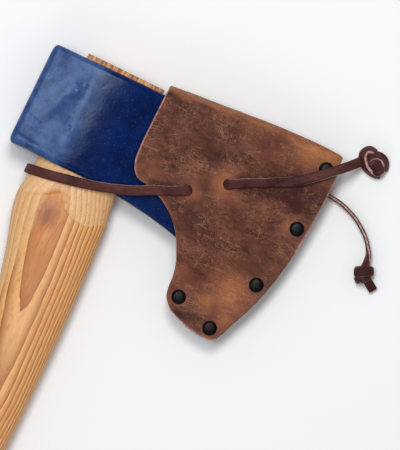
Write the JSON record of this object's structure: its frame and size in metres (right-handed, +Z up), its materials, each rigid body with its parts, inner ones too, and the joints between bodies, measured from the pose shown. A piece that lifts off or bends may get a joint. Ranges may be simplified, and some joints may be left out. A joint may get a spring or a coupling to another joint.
{
  "type": "felling axe",
  "caption": "Single-bit felling axe with a curved wooden handle and a riveted leather bit sheath tied on with a flat lace; the sheath slides off the blade.",
  "frame": {"origin": "on the plane that the axe rests on as it lies on its side, straight under the middle of the eye", "axes": "+X from the poll to the cutting edge, +Y along the handle from the knob to the top of the head, +Z up, across the head's thickness"},
  "size_m": [0.259, 0.8407, 0.038],
  "materials": {
    "head_paint": "satin",
    "handle_wood": "satin",
    "wedge_wood": "matte",
    "wedge_steel": "satin",
    "sheath_leather": "satin",
    "welt_leather": "matte",
    "rivet_black": "satin",
    "lace_leather": "satin"
  },
  "bodies": {
    "axe": {"axe_head": "head_paint", "handle": "handle_wood", "wood_wedge": "wedge_wood", "steel_wedge": "wedge_steel"},
    "sheath": {"sheath_leather": "sheath_leather", "sheath_welt": "welt_leather", "rivet_caps": "rivet_black", "rivet_posts": "rivet_black", "lace_loop": "lace_leather", "lace_bridge_front": "lace_leather", "lace_bridge_rear": "lace_leather", "lace_tail_front": "lace_leather", "lace_tail_rear": "lace_leather", "lace_knot_front": "lace_leather", "lace_knot_rear": "lace_leather"}
  },
  "joints": [
    {"name": "sheath_slide", "type": "slide", "parent": "axe", "child": "sheath", "axis": [0.9994, 0.0349, 0], "range_m": [0, 0.1], "deforming": ["lace_loop"]}
  ]
}
